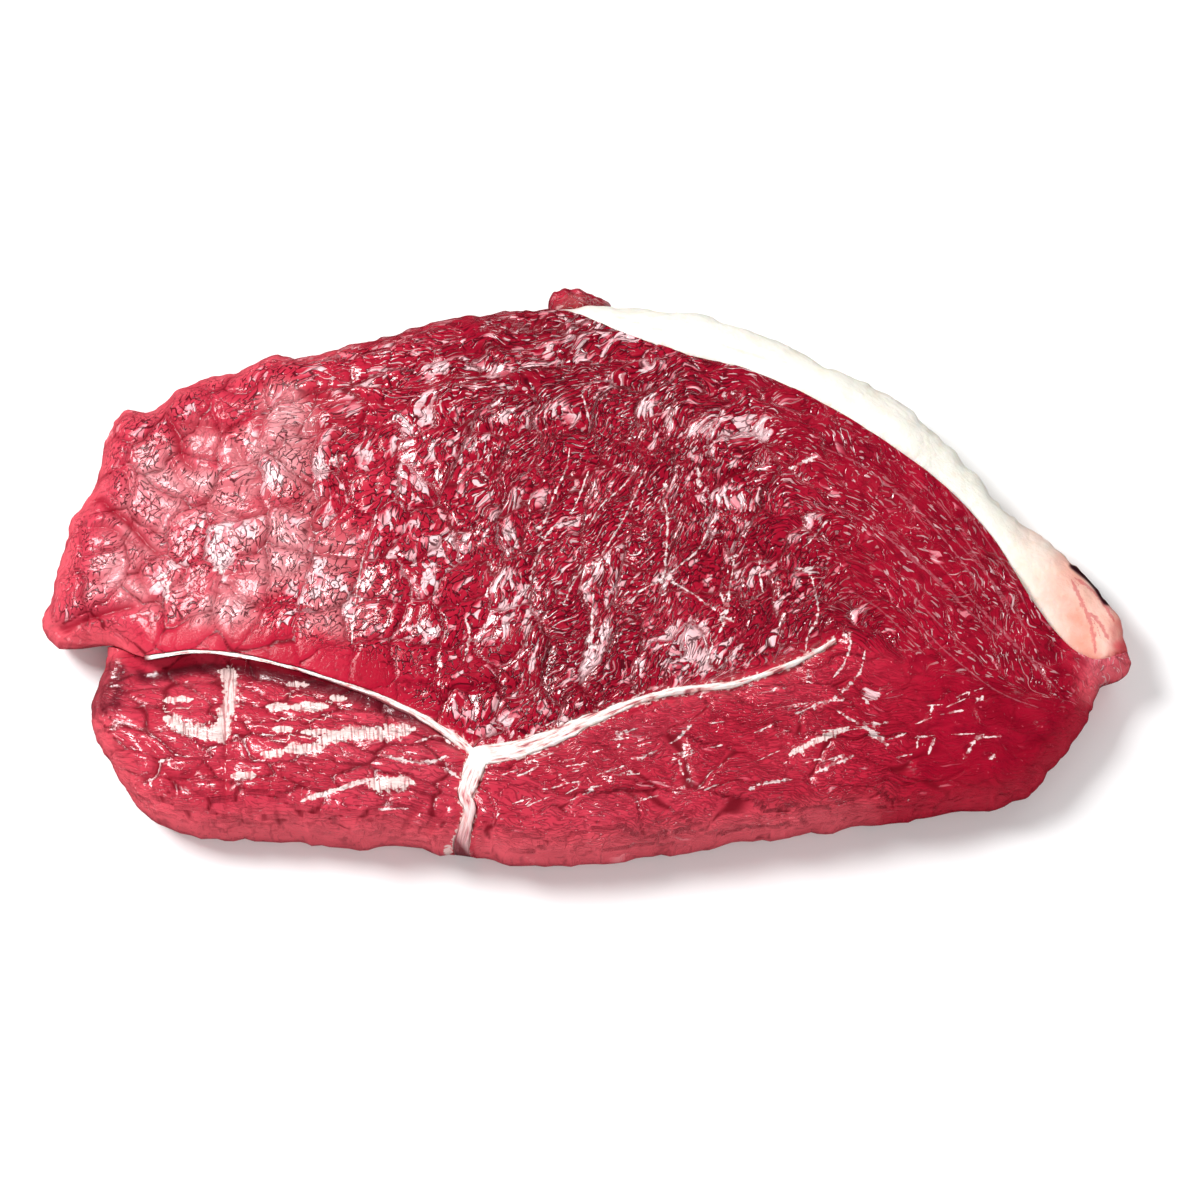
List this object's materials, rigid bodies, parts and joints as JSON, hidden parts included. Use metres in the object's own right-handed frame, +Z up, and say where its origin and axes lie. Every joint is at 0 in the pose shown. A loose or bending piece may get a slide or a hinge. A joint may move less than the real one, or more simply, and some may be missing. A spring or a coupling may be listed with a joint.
{
  "type": "raw rump steak",
  "caption": "Raw beef rump steak lying flat: deep red lean in two muscles split by a sheet of white connective tissue, with a cap of pale fat along the back.",
  "frame": {"origin": "under the middle of the steak, on the surface that it lies on", "axes": "+X along the steak towards its pointed end, +Y towards the edge with the fat, +Z up"},
  "size_m": [0.2, 0.1105, 0.0219],
  "materials": {
    "lean": "moist raw lean beef, wet sheen over fine muscle bundles",
    "connective_tissue": "moist pearly white sinew, a little pink",
    "fat": "cool firm cream fat, waxy and slightly moist"
  },
  "bodies": {
    "root": {"main_muscle": "lean", "lower_muscle": "lean", "connective_sheet": "connective_tissue", "fat_cap": "fat", "lean_scrap": "lean"}
  },
  "joints": []
}
